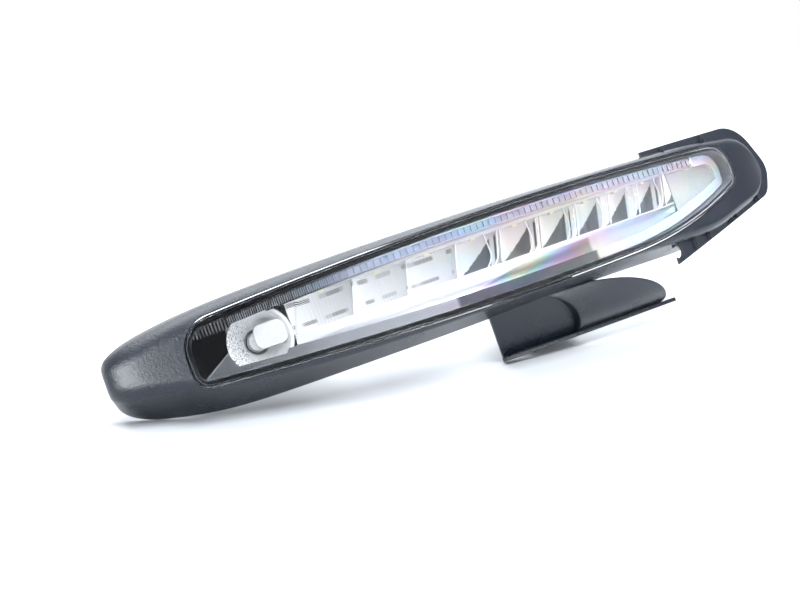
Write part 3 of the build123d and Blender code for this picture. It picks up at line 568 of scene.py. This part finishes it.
class LAMP_OT_reflectors(bpy.types.Operator):
    """Give the bowl, the row of cells and the scoop their bright metal"""

    bl_idname = "lamp.reflectors"
    bl_label = "Reflectors"

    def execute(self, context):
        metal = finish_settings().reflector_colour
        self.finish_row(metal)
        self.finish_bowl_and_scoop(metal)
        return {"FINISHED"}

    def finish_row(self, metal):
        row = Finish("cell_metal", metal, roughness=0.1, metallic=1.0)
        run, depth, height = row.along()
        skewed = row.scaled(row.less(depth, ROW_FRONT), -CELL_SKEW, run)
        count, share, level = row.cells(row.plus(skewed, PATTERN_SHIFT), height)
        raked = row.fade(count, PLAIN_CELLS - RAKED_SOFT, PLAIN_CELLS + RAKED_SOFT)
        apron = row.until(height, *APRON_HEIGHT)
        wedge = self.wedge(row, skewed, height, share, level, raked)
        sliver = row.times(
            row.within(share, *SLIVER_SHARE), row.within(level, *SLIVER_LEVEL), raked
        )
        lines = self.dark_lines(row, skewed, height, raked)
        # The painted dark reflections are filled with a dark knit on pale.
        knit = row.times(row.zigzag(row.plus(skewed, height), KNIT_HALF),
                         row.zigzag(row.less(skewed, height), KNIT_HALF))
        dark = row.blend(row.fade(knit, *KNIT_EDGE), KNIT_REFLECTION_DARK, KNIT_REFLECTION_PALE)
        tint = self.tint(row, run, height, apron, metal)
        plain = row.blend(row.larger(wedge, sliver), tint, dark)
        row.set("Base Color", row.blend(lines, plain, DARK_LINE_BLACK))
        row.set("Roughness", row.scaled(row.larger(wedge, apron), DARK_ROUGH, ROW_ROUGH))
        painted = row.less(CELL_PAINT, row.times(apron, APRON_METAL))
        row.set("Metallic", row.rest(row.larger(row.larger(wedge, lines), painted)))
        flute = row.times(row.zigzag(skewed, FLUTE_HALF), row.rest(raked), row.rest(apron))
        brush = row.streaks(run, height, ROW_BRUSH, detail=3.0)
        row.bump(row.scaled(brush, ROW_BRUSH_SHARE, flute), ROW_RELIEF)
        row.paint("cell_reflector")

    def wedge(self, row, skewed, height, share, level, raked):
        """The painted dark reflection that climbs across each raked cell as a wedge, with a ragged
        edge.
        """
        in_cell = row.times(row.fade(level, *WEDGE_SILL), raked)
        climb = row.math("POWER", row.larger(share, 0.0), WEDGE_CURVE)
        slope = row.less(row.times(climb, WEDGE_CLIMB), row.plus(level, WEDGE_START))
        ragged = row.streaks(skewed, height, RAGGED, detail=2.0)
        slope = row.scaled(ragged, RAGGED_DEPTH, row.less(slope, RAGGED_MIDDLE))
        face = row.fade(slope, -RAGGED_SOFT, RAGGED_SOFT)
        return row.times(face, in_cell, row.until(share, *WEDGE_END))

    def dark_lines(self, row, skewed, height, raked):
        """The two broken lines of slanted dark teeth in the plain cells."""
        slant = row.scaled(height, DARK_LINE_SLANT, skewed)
        teeth = row.fade(row.zigzag(slant, DARK_LINE_HALF), *DARK_LINE_EDGE)
        drift = row.noise(row.join(row.times(skewed, DARK_LINE_PATCH), 0.0), scale=1.0, detail=1.0)
        patches = row.fade(drift, *DARK_LINE_PATCH_EDGE)
        both = row.plus(row.within(height, *DARK_LINE_UPPER), row.within(height, *DARK_LINE_LOWER))
        return row.times(both, patches, teeth, row.rest(raked))

    def tint(self, row, run, height, apron, metal):
        """The metal's own colour, its painted sheen bands, the apron's grey and a painted dark
        reflection.
        """
        bands = row.painted_sheen(run, height)
        amount = row.times(row.fade(run, *APRON_BAND_RUN), row.larger(apron, CELL_BANDS))
        tint = row.blend(amount, metal, bands)
        grey = row.blend(1.0, tint, APRON_GREY, "MULTIPLY")
        tint = row.blend(row.times(apron, APRON_GREY_SHARE), tint, grey)
        # Painted dark reflection: a patch on the apron below a rising line, tinted by the sheen
        # bands.
        line = row.math("MINIMUM", row.scaled(run, REFLECTION_PATCH_RISE, REFLECTION_PATCH_BASE), REFLECTION_PATCH_TOP)
        reflection_patch = row.times(row.within(run, *REFLECTION_PATCH_RUN),
                          row.until(row.less(height, line), *REFLECTION_PATCH_SOFT))
        rich = row.add("ShaderNodeGamma", {"Color": bands, "Gamma": REFLECTION_PATCH_GAMMA}).outputs[0]
        reflection_shade = row.blend(1.0, rich, REFLECTION_PATCH_GREY, "MULTIPLY")
        return row.blend(row.times(reflection_patch, REFLECTION_PATCH_SHARE), tint, reflection_shade)

    def finish_bowl_and_scoop(self, metal):
        bright = Finish("bright_metal", metal, roughness=0.10, metallic=0.08)
        bright.speckle(BRIGHT_CLOUD, detail=3.0, rough=BRIGHT_ROUGH)
        facet = bright.add("ShaderNodeTexVoronoi", {"Vector": bright.place(), "Scale": FACET_SCALE})
        bright.bump(facet.outputs["Distance"], FACET_RELIEF)
        in_bowl = bright.until(bright.along()[0], *BOWL_RUN)
        # Painted dark reflections: dark specks in the bowl.
        speck_noise = bright.noise(bright.place(), SPECK_SCALE, detail=3.0, roughness=SPECK_ROUGH)
        reflection_speck = bright.times(bright.fade(speck_noise, *SPECK_EDGE), in_bowl)
        bright.set("Base Color", bright.blend(reflection_speck, metal, SPECK_REFLECTION_DARK))
        bright.paint("end_reflector", "bowl_reflector")


# Bulb shield: a leaning plate on two posts, in metres along the lamp's sweep.
SHIELD_THICK, SHIELD_CORNER, SHIELD_EDGE = 0.0016, 0.0042, 0.0005
SHIELD_LEAN, SHIELD_PLACE = 0.34, (-0.0695, 0.0165, 0.0065)
POST_SIZE, POST_HEIGHTS = (0.0022, 0.0046, 0.0022), (0.0030, 0.0095)
POST_RUN, POST_DEPTH = -0.0625, 0.0192
SHIELD_ROUGH = (0.14, 0.30)
SHIELD_COLOURS = ((0.90, 0.91, 0.92), (0.98, 0.98, 0.98))


class LAMP_OT_bulb_shield(bpy.types.Operator):
    """Set the bright shield on its posts in front of the turn bulb"""

    bl_idname = "lamp.bulb_shield"
    bl_label = "Bulb shield"

    def execute(self, context):
        sizes = size_settings()
        bm = bmesh.new()
        self.box(bm, (sizes.shield_width, SHIELD_THICK, sizes.shield_height))
        through = [edge for edge in bm.edges if self.depth_of(edge) > 0.5 * SHIELD_THICK]
        self.round(bm, through, SHIELD_CORNER, segments=6)
        flat = [edge for edge in bm.edges if self.depth_of(edge) < 0.1 * SHIELD_THICK]
        self.round(bm, flat, SHIELD_EDGE, segments=2)
        lean = Matrix.Shear("XZ", 4, (SHIELD_LEAN, 0.0))
        settled = Matrix.Translation(SHIELD_PLACE) @ lean
        bmesh.ops.transform(bm, matrix=settled, verts=bm.verts)
        for height in POST_HEIGHTS:
            run = POST_RUN + SHIELD_LEAN * (height - SHIELD_PLACE[2])
            post = self.box(bm, POST_SIZE)
            bmesh.ops.translate(bm, vec=(run, POST_DEPTH, height), verts=post)
        for vert in bm.verts:
            vert.co = lamp_point(*(PER_METRE * vert.co))
        bmesh.ops.recalc_face_normals(bm, faces=bm.faces)
        mesh = mesh_of(bm, "bulb_shield")
        piece = in_scene("bulb_shield", mesh)
        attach(piece, "root")
        metal = finish_settings().reflector_colour
        shine = Finish("shield_metal", metal, roughness=0.2, metallic=0.25)
        shine.speckle(scale=220.0, detail=3.0, rough=SHIELD_ROUGH, colours=SHIELD_COLOURS)
        mesh.materials.append(shine.material)
        return {"FINISHED"}

    def box(self, bm, size):
        corners = bmesh.ops.create_cube(bm, size=1.0)["verts"]
        bmesh.ops.scale(bm, vec=size, verts=corners)
        return corners

    def depth_of(self, edge):
        first, second = edge.verts
        return abs(first.co.y - second.co.y)

    def round(self, bm, edges, radius, segments):
        bmesh.ops.bevel(bm, geom=edges, offset=radius, segments=segments, profile=0.5,
                        affect="EDGES", material=-1)


# Beads: points as run from the cell's edge and height. The bowed one stands back by a share of
# the pitch.
WALL_BEAD = ((3.2, CELL_TOP), (0.5, 11.0), (-1.0, 5.0), (-5.2, CELL_FLOOR))
BOWED_BEAD = ((4.0, CELL_TOP), (5.0, 12.0), (4.6, 5.0), (0.0, CELL_FLOOR))
BOWED_BACK = 0.35
BEAD_PROUD = 0.1
SILL_STEP, SILL_POINTS, SILL_DROP = 26.0, 11, 0.2
BEAD_ROUGH = (0.15, 0.3)
BEAD_COLOURS = ((0.86, 0.87, 0.89), (0.97, 0.97, 0.98))


class LAMP_OT_dividers(bpy.types.Operator):
    """Run the fine bright beads that divide the raked cells and edge the row"""

    bl_idname = "lamp.dividers"
    bl_label = "Cell dividers"

    def execute(self, context):
        beads = bpy.data.curves.new("cell_dividers", "CURVE")
        beads.dimensions = "3D"
        beads.bevel_depth = size_settings().bead_radius
        beads.bevel_resolution = 2
        beads.resolution_u = 6
        beads.use_fill_caps = True
        edge, pitch = CELL_FROM, CELL_PITCH
        for cell in range(CELL_COUNT):
            edge, pitch = edge + pitch, pitch * CELL_RATIO
            if cell >= PLAIN_CELLS:
                for back, points in ((0.0, WALL_BEAD), (BOWED_BACK * pitch, BOWED_BEAD)):
                    self.bead(beads, [(edge + run - back, height) for run, height in points])
        sill = CELL_FLOOR - SILL_DROP
        self.bead(beads, [(CELL_FROM + SILL_STEP * step, sill) for step in range(SILL_POINTS)])
        holder = bpy.data.objects.new("cell_dividers_path", beads)
        mesh = bpy.data.meshes.new_from_object(holder)
        mesh.name = "cell_dividers"
        bpy.data.objects.remove(holder)
        piece = in_scene("cell_dividers", mesh)
        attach(piece, "root")
        metal = finish_settings().reflector_colour
        shine = Finish("bead_metal", metal, roughness=0.2, metallic=0.3)
        shine.speckle(scale=300.0, detail=2.0, rough=BEAD_ROUGH, colours=BEAD_COLOURS)
        mesh.materials.clear()
        mesh.materials.append(shine.material)
        return {"FINISHED"}

    def bead(self, curve, points):
        line = curve.splines.new("NURBS")
        line.points.add(len(points) - 1)
        for point, (run, height) in zip(line.points, points):
            point.co = (*lamp_point(run, ROW_FRONT - BEAD_PROUD, height), 1.0)
        line.order_u = 3
        line.use_endpoint_u = True


BOARD_SHADES, BULB_SHADE = (0.92, 1.05), 0.9
CHIP_YELLOW = (0.93, 0.88, 0.62)
CHIP_COLOURS = ((0.90, 0.84, 0.54), (0.96, 0.93, 0.74))
ALLOY_GREY, ALLOY_ROUGH, ALLOY_RELIEF = (0.62, 0.63, 0.65), (0.34, 0.52), 0.00008


class LAMP_OT_light_sources(bpy.types.Operator):
    """Finish the boards, the light sources, the heat sink and the turn bulb"""

    bl_idname = "lamp.light_sources"
    bl_label = "Light sources"

    def execute(self, context):
        colours = finish_settings()
        mask, silver = colours.board_colour, colours.bulb_colour
        board = Finish("board_white", mask, roughness=0.35)
        masks = [shade(mask, share) for share in BOARD_SHADES]
        board.speckle(scale=400.0, detail=3.0, colours=masks)
        board.paint("led_board", "guide_led_board")
        chip = Finish("led_pale", CHIP_YELLOW, roughness=0.30)
        chip.speckle(scale=900.0, detail=2.0, colours=CHIP_COLOURS)
        chip.paint("cell_leds", "guide_led")
        alloy = Finish("cast_alloy", ALLOY_GREY, roughness=0.42, metallic=1.0)
        alloy.speckle(scale=700.0, detail=4.0, rough=ALLOY_ROUGH, relief=ALLOY_RELIEF)
        alloy.paint("heat_sink")
        bulb = Finish("bulb_silvered", silver, roughness=0.12, metallic=0.15)
        bulb.speckle(scale=150.0, detail=2.0, colours=(shade(silver, BULB_SHADE), silver))
        bulb.paint("turn_bulb")
        return {"FINISHED"}


# Housing and bulb holder: black or grey outside, and pale where the lens shows their inside. On
# the bulb holder the pale front is painted light over the shade in the bowl's hole.
# The housing's faces count as inside when they look ahead or in towards its middle height.
SHELL_ROUGH, SHELL_RELIEF = (0.44, 0.58), 0.00006
MIDDLE_HEIGHT, INWARD_SHARE, INSIDE_FACING = 6.0, 0.05, (0.2, 0.5)
INSIDE_DEPTH, INSIDE_HEIGHT, INSIDE_PALE = (42.0, 43.0), (-19.0, -18.0), (0.62, 0.64, 0.67)
PLUG_GREY, PLUG_ROUGH, PLUG_RELIEF = (0.10, 0.105, 0.11), (0.36, 0.5), 0.00005
HOLDER_DEPTH, HOLDER_PAINTED_LIGHT = (42.0, 44.0), (0.60, 0.61, 0.63)
SEALANT, SEALANT_RELIEF = (0.05, 0.05, 0.05), 0.0002
SEALANT_COLOURS = ((0.04, 0.04, 0.04), (0.06, 0.06, 0.06))
STEEL_GREY, STEEL_ROUGH = (0.55, 0.55, 0.56), (0.22, 0.42)
CONTACT_METAL, CONTACT_ROUGH = (0.78, 0.72, 0.60), (0.18, 0.36)


class LAMP_OT_rear_parts(bpy.types.Operator):
    """Finish the housing, driver module, connector, breather and fixings"""

    bl_idname = "lamp.rear_parts"
    bl_label = "Rear parts"

    def execute(self, context):
        black = finish_settings().housing_colour
        shell = Finish("housing_black", black, roughness=0.5)
        shell.speckle(scale=900.0, detail=4.0, rough=SHELL_ROUGH, relief=SHELL_RELIEF)
        run, depth, height = shell.along()
        ahead, up = shell.facing(run)
        inward = shell.times(shell.less(MIDDLE_HEIGHT, height), shell.times(up, INWARD_SHARE))
        inside = shell.times(
            shell.fade(shell.larger(ahead, inward), *INSIDE_FACING),
            shell.until(depth, *INSIDE_DEPTH),
            shell.fade(height, *INSIDE_HEIGHT),
        )
        shell.set("Base Color", shell.blend(inside, black, INSIDE_PALE))
        shell.paint("rear_housing", "driver_case")
        sealant = Finish("sealant_black", SEALANT, roughness=0.65)
        sealant.speckle(scale=500.0, detail=3.0, colours=SEALANT_COLOURS, relief=SEALANT_RELIEF)
        sealant.paint("lens_seal", "holder_seal")
        plug = Finish("connector_grey", PLUG_GREY, roughness=0.42)
        plug.speckle(scale=800.0, detail=3.0, rough=PLUG_ROUGH, relief=PLUG_RELIEF)
        _, depth, height = plug.along()
        # Painted light: the holder's front, in the shade of the bowl's hole, is pale.
        front = plug.times(plug.until(depth, *HOLDER_DEPTH), plug.fade(height, *INSIDE_HEIGHT))
        plug.set("Base Color", plug.blend(front, PLUG_GREY, HOLDER_PAINTED_LIGHT))
        plug.paint("connector_socket", "bulb_holder", "driver_lid", "vent_cap")
        steel = Finish("screw_steel", STEEL_GREY, roughness=0.3, metallic=1.0)
        steel.speckle(scale=1200.0, detail=3.0, rough=STEEL_ROUGH)
        steel.paint("housing_screws", "board_screws", "driver_screws")
        tin = Finish("contact_metal", CONTACT_METAL, roughness=0.25, metallic=1.0)
        tin.speckle(scale=1500.0, detail=3.0, rough=CONTACT_ROUGH)
        tin.paint("connector_pins", "mount_inserts")
        return {"FINISHED"}


FLOOR_REACH = 1.05
PAPER_GREY = (0.36, 0.37, 0.39)
PAPER_SHADES = ((0.355, 0.365, 0.382), (0.365, 0.375, 0.392))

# Room: strength of its light from one side to the other, then what is added above and behind
# as axis, limits and amount. To the camera the room is plain white.
ROOM_ACROSS = (
    (0.0, 1.0), (0.18, 0.8), (0.28, 0.12), (0.45, 0.12), (0.55, 0.42),
    (0.8, 0.72), (0.9, 0.6), (0.955, 0.65), (1.0, 0.6),
)
ROOM_ADDED = ((2, 0.58, 0.85, 1.0), (1, 0.2, 0.7, 1.1))
ROOM_TINT = (0.93, 0.97, 1.04)

# Lights: name, place, aim, width, height and watts.
LIGHT_TINT = (0.94, 0.97, 1.0)
LIGHTS = (
    ("top_box", (0.0, 0.30, 1.3), (0.0, 0.0, 0.05), 1.8, 1.2, 62.0),
    ("rear_box", (0.1, 1.3, 0.7), (0.0, 0.0, 0.05), 1.8, 0.8, 14.0),
    ("key_box", (-1.16, -0.88, 0.28), (-0.20, -0.02, 0.035), 1.15, 0.65, 50.0),
    ("high_fill", (0.12, -0.73, 1.20), (0.0, 0.0, 0.06), 0.7, 0.5, 50.0),
    ("front_fill", (0.50, -1.08, 0.16), (0.02, 0.0, 0.07), 0.5, 0.3, 14.0),
    ("side_box", (1.20, -0.58, 0.62), (0.11, -0.02, 0.10), 0.75, 0.7, 1.0),
)

SENSOR_MM, LENS_MM, NEAREST = 36.0, 61.16, 0.01
VIEW_SIDE, VIEW_UP, VIEW_AWAY = radians(-24.0), radians(18.0), 0.720


def look(item, direction):
    """Turn a light or camera so that it faces along a direction."""
    item.rotation_euler = direction.to_track_quat("-Z", "Y").to_euler()


class LAMP_OT_stage(bpy.types.Operator):
    """Lay the floor and set the lights and the camera"""

    bl_idname = "lamp.stage"
    bl_label = "Stage"

    def execute(self, context):
        self.lay_floor()
        self.set_room(context.scene)
        lights = {light[0]: self.area_light(*light) for light in LIGHTS}
        # On the lens the key light would mirror as a block, so it lights the surround alone.
        lit = bpy.data.collections.new("key_lit")
        lit.objects.link(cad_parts["surround"])
        lights["key_box"].light_linking.receiver_collection = lit
        self.set_camera(context.scene)
        context.scene.view_settings.view_transform = "Standard"
        return {"FINISHED"}

    def lay_floor(self):
        bm = bmesh.new()
        bmesh.ops.create_grid(bm, x_segments=1, y_segments=1, size=FLOOR_REACH)
        mesh = mesh_of(bm, "studio_floor")
        floor = in_scene("studio_floor", mesh)
        paper = Finish("studio_paper", PAPER_GREY, roughness=0.7)
        fibre = paper.noise(paper.place(), scale=3.0, detail=3.0)
        paper.set("Base Color", paper.spread(fibre, *PAPER_SHADES))
        mesh.materials.append(paper.material)

    def set_room(self, scene):
        world = bpy.data.worlds.new("studio_air")
        scene.world = world
        world.use_nodes = True
        room = Graph(world.node_tree)
        seen = room.add("ShaderNodeLightPath").outputs["Is Camera Ray"]
        way = room.add("ShaderNodeTexCoord").outputs["Generated"]
        axes = room.add("ShaderNodeSeparateXYZ", {"Vector": way}).outputs
        across = room.add("ShaderNodeMapRange", {"Value": axes[0], "From Min": -1.0}).outputs[0]
        glow = room.ramp(across, *ROOM_ACROSS)
        for axis, low, high, amount in ROOM_ADDED:
            glow = room.plus(room.fade(axes[axis], low, high, amount), glow)
        air = room.nodes["Background"]
        room.feed(air, "Strength", room.mix(seen, glow, 1.0))
        room.feed(air, "Color", room.blend(seen, ROOM_TINT, WHITE))

    def area_light(self, name, place, aim, width, height, watts):
        data = bpy.data.lights.new(name, "AREA")
        data.shape = "RECTANGLE"
        data.size = width
        data.size_y = height
        data.energy = watts
        data.color = LIGHT_TINT
        light = in_scene(name, data)
        light.location = place
        look(light, Vector(aim) - Vector(place))
        return light

    def set_camera(self, scene):
        data = bpy.data.cameras.new("photo_view")
        data.sensor_width = SENSOR_MM
        data.lens = LENS_MM
        data.clip_start = NEAREST
        camera = in_scene("photo_view", data)
        level = cos(VIEW_UP)
        away = Vector((sin(VIEW_SIDE) * level, -cos(VIEW_SIDE) * level, sin(VIEW_UP)))
        camera.location = CENTRE + VIEW_AWAY * away
        look(camera, -away)
        scene.camera = camera


class VIEW3D_PT_lamp(bpy.types.Panel):
    """Pieces of the lamp and their settings"""

    bl_label = "Daytime Running Light"
    bl_space_type = "VIEW_3D"
    bl_region_type = "UI"
    bl_category = "Lamp"

    def draw(self, context):
        column = self.layout.column()
        for group in (context.scene.lamp_finish, context.scene.lamp_sizes):
            for name in group.bl_rna.properties.keys():
                if name not in ("rna_type", "name"):
                    column.prop(group, name)
        for operator in operators:
            column.operator(operator.bl_idname)


operators = (
    LAMP_OT_surround,
    LAMP_OT_lens,
    LAMP_OT_bezel,
    LAMP_OT_reflectors,
    LAMP_OT_bulb_shield,
    LAMP_OT_dividers,
    LAMP_OT_light_sources,
    LAMP_OT_rear_parts,
    LAMP_OT_stage,
)
classes = (LampFinish, LampSizes, *operators, VIEW3D_PT_lamp)


def register():
    for cls in classes:
        bpy.utils.register_class(cls)
    bpy.types.Scene.lamp_finish = PointerProperty(type=LampFinish)
    bpy.types.Scene.lamp_sizes = PointerProperty(type=LampSizes)


def unregister():
    del bpy.types.Scene.lamp_sizes
    del bpy.types.Scene.lamp_finish
    for cls in reversed(classes):
        bpy.utils.unregister_class(cls)


def main():
    register()
    bpy.ops.lamp.surround()
    bpy.ops.lamp.lens()
    bpy.ops.lamp.bezel()
    bpy.ops.lamp.reflectors()
    bpy.ops.lamp.bulb_shield()
    bpy.ops.lamp.dividers()
    bpy.ops.lamp.light_sources()
    bpy.ops.lamp.rear_parts()
    bpy.ops.lamp.stage()


if __name__ == "__main__":
    main()
